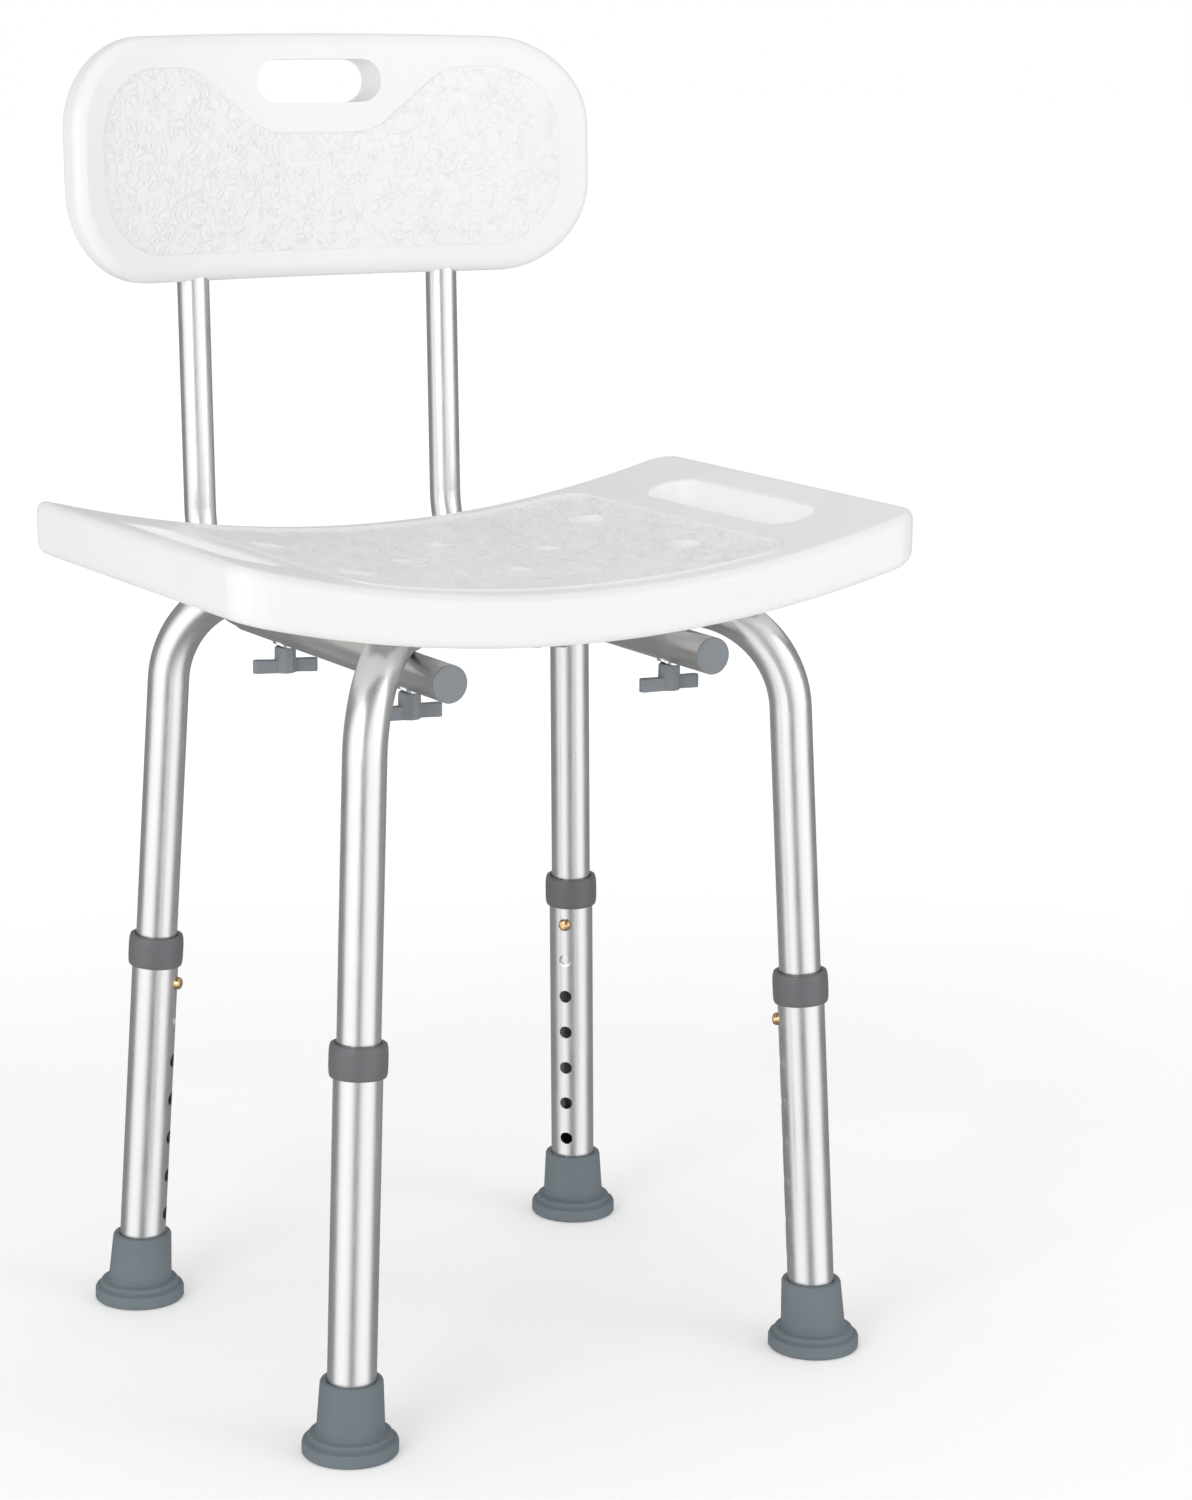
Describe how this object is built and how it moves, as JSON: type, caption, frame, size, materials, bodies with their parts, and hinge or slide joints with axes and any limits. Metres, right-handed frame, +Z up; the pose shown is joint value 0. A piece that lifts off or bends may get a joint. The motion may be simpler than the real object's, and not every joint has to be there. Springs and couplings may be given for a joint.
{
  "type": "shower chair",
  "caption": "Height-adjustable bath chair: curved perforated seat and backrest on crossing tube legs with telescoping feet, spring buttons and wing knobs.",
  "frame": {"origin": "on the floor, midway between the four feet", "axes": "+Z up, +X across the seat, -Y towards the front of the chair"},
  "size_m": [0.458, 0.3993, 0.7897],
  "materials": {
    "white_plastic": "white blow-moulded polyethylene, matte, with a fine leathery texture in the recessed panels",
    "aluminium_tube": "satin anodised extruded tube",
    "collar_plastic": "dark grey moulded plastic",
    "grey_plastic": "mid grey moulded plastic",
    "grey_rubber": "blue-grey moulded rubber",
    "brass_button": "yellow passivated metal",
    "steel": "zinc-plated steel"
  },
  "bodies": {
    "frame": {"crossing_tube_lower": "aluminium_tube", "crossing_tube_upper": "aluminium_tube", "centre_rivet": "aluminium_tube", "seat_shell": "white_plastic", "seat_nuts": "brass_button", "support_tube_left": "aluminium_tube", "support_tube_right": "aluminium_tube", "end_cap_left": "grey_plastic", "end_cap_right": "grey_plastic", "saddle_washer_front_left": "steel", "saddle_washer_rear_left": "steel", "saddle_washer_rear_right": "steel", "saddle_washer_front_right": "steel", "leg_button_spring_front_left": "steel", "leg_button_spring_rear_left": "steel", "leg_button_spring_rear_right": "steel", "leg_button_spring_front_right": "steel"},
    "leg_front_left": {"lower_leg_front_left": "aluminium_tube", "leg_collar_front_left": "collar_plastic", "rubber_tip_front_left": "grey_rubber", "tip_washer_front_left": "steel"},
    "button_front_left": {"leg_button_front_left": "brass_button"},
    "bolt_front_left": {"knob_bolt_front_left": "steel"},
    "knob_front_left": {"wing_knob_front_left": "grey_plastic"},
    "leg_rear_left": {"lower_leg_rear_left": "aluminium_tube", "leg_collar_rear_left": "collar_plastic", "rubber_tip_rear_left": "grey_rubber", "tip_washer_rear_left": "steel"},
    "button_rear_left": {"leg_button_rear_left": "brass_button"},
    "bolt_rear_left": {"knob_bolt_rear_left": "steel"},
    "knob_rear_left": {"wing_knob_rear_left": "grey_plastic"},
    "leg_rear_right": {"lower_leg_rear_right": "aluminium_tube", "leg_collar_rear_right": "collar_plastic", "rubber_tip_rear_right": "grey_rubber", "tip_washer_rear_right": "steel"},
    "button_rear_right": {"leg_button_rear_right": "brass_button"},
    "bolt_rear_right": {"knob_bolt_rear_right": "steel"},
    "knob_rear_right": {"wing_knob_rear_right": "grey_plastic"},
    "leg_front_right": {"lower_leg_front_right": "aluminium_tube", "leg_collar_front_right": "collar_plastic", "rubber_tip_front_right": "grey_rubber", "tip_washer_front_right": "steel"},
    "button_front_right": {"leg_button_front_right": "brass_button"},
    "bolt_front_right": {"knob_bolt_front_right": "steel"},
    "knob_front_right": {"wing_knob_front_right": "grey_plastic"},
    "backrest": {"back_post_left": "aluminium_tube", "back_post_right": "aluminium_tube", "backrest_shell": "white_plastic", "backrest_screws": "steel", "back_button_spring_left": "steel", "back_button_spring_right": "steel"},
    "back_button_left": {"back_button_left": "brass_button"},
    "back_button_right": {"back_button_right": "brass_button"}
  },
  "joints": [
    {"name": "leg_height_front_left", "type": "slide", "parent": "frame", "child": "leg_front_left", "axis": [0.0446, 0.0391, 0.9982], "range_m": [0, 0.1524]},
    {"name": "button_press_front_left", "type": "slide", "parent": "frame", "child": "button_front_left", "axis": [-0.7511, -0.6575, 0.0593], "range_m": [0, 0.0055], "stiffness_N_per_m": 900, "springref_m": -0.002, "deforming": ["leg_button_spring_front_left"]},
    {"name": "bolt_travel_front_left", "type": "slide", "parent": "frame", "child": "bolt_front_left", "axis": [0, 0, -1], "range_m": [0, 0.009]},
    {"name": "knob_turn_front_left", "type": "hinge", "parent": "bolt_front_left", "child": "knob_front_left", "pos_m": [-0.089, -0.07791, 0.4264], "axis": [0, 0, -1], "range_deg": [0, 3240]},
    {"name": "leg_height_rear_left", "type": "slide", "parent": "frame", "child": "leg_rear_left", "axis": [0.0446, -0.0391, 0.9982], "range_m": [0, 0.1524]},
    {"name": "button_press_rear_left", "type": "slide", "parent": "frame", "child": "button_rear_left", "axis": [-0.7511, 0.6575, 0.0593], "range_m": [0, 0.0055], "stiffness_N_per_m": 900, "springref_m": -0.002, "deforming": ["leg_button_spring_rear_left"]},
    {"name": "bolt_travel_rear_left", "type": "slide", "parent": "frame", "child": "bolt_rear_left", "axis": [0, 0, -1], "range_m": [0, 0.009]},
    {"name": "knob_turn_rear_left", "type": "hinge", "parent": "bolt_rear_left", "child": "knob_rear_left", "pos_m": [-0.089, 0.07791, 0.4264], "axis": [0, 0, -1], "range_deg": [0, 3240]},
    {"name": "leg_height_rear_right", "type": "slide", "parent": "frame", "child": "leg_rear_right", "axis": [-0.0446, -0.0391, 0.9982], "range_m": [0, 0.1524]},
    {"name": "button_press_rear_right", "type": "slide", "parent": "frame", "child": "button_rear_right", "axis": [0.7511, 0.6575, 0.0593], "range_m": [0, 0.0055], "stiffness_N_per_m": 900, "springref_m": -0.002, "deforming": ["leg_button_spring_rear_right"]},
    {"name": "bolt_travel_rear_right", "type": "slide", "parent": "frame", "child": "bolt_rear_right", "axis": [0, 0, -1], "range_m": [0, 0.009]},
    {"name": "knob_turn_rear_right", "type": "hinge", "parent": "bolt_rear_right", "child": "knob_rear_right", "pos_m": [0.089, 0.07791, 0.4264], "axis": [0, 0, -1], "range_deg": [0, 3240]},
    {"name": "leg_height_front_right", "type": "slide", "parent": "frame", "child": "leg_front_right", "axis": [-0.0446, 0.0391, 0.9982], "range_m": [0, 0.1524]},
    {"name": "button_press_front_right", "type": "slide", "parent": "frame", "child": "button_front_right", "axis": [0.7511, -0.6575, 0.0593], "range_m": [0, 0.0055], "stiffness_N_per_m": 900, "springref_m": -0.002, "deforming": ["leg_button_spring_front_right"]},
    {"name": "bolt_travel_front_right", "type": "slide", "parent": "frame", "child": "bolt_front_right", "axis": [0, 0, -1], "range_m": [0, 0.009]},
    {"name": "knob_turn_front_right", "type": "hinge", "parent": "bolt_front_right", "child": "knob_front_right", "pos_m": [0.089, -0.07791, 0.4264], "axis": [0, 0, -1], "range_deg": [0, 3240]},
    {"name": "backrest_slide", "type": "slide", "parent": "frame", "child": "backrest", "axis": [0, 1, 0], "range_m": [0, 0.06]},
    {"name": "back_button_press_left", "type": "slide", "parent": "backrest", "child": "back_button_left", "axis": [-1, 0, 0], "range_m": [0, 0.0043], "stiffness_N_per_m": 900, "springref_m": -0.002, "deforming": ["back_button_spring_left"]},
    {"name": "back_button_press_right", "type": "slide", "parent": "backrest", "child": "back_button_right", "axis": [1, 0, 0], "range_m": [0, 0.0043], "stiffness_N_per_m": 900, "springref_m": -0.002, "deforming": ["back_button_spring_right"]}
  ],
  "couplings": [
    {"joint": "knob_turn_front_left", "follows": "bolt_travel_front_left", "rad_per_m": 6283.2},
    {"joint": "knob_turn_rear_left", "follows": "bolt_travel_rear_left", "rad_per_m": 6283.2},
    {"joint": "knob_turn_rear_right", "follows": "bolt_travel_rear_right", "rad_per_m": 6283.2},
    {"joint": "knob_turn_front_right", "follows": "bolt_travel_front_right", "rad_per_m": 6283.2}
  ]
}
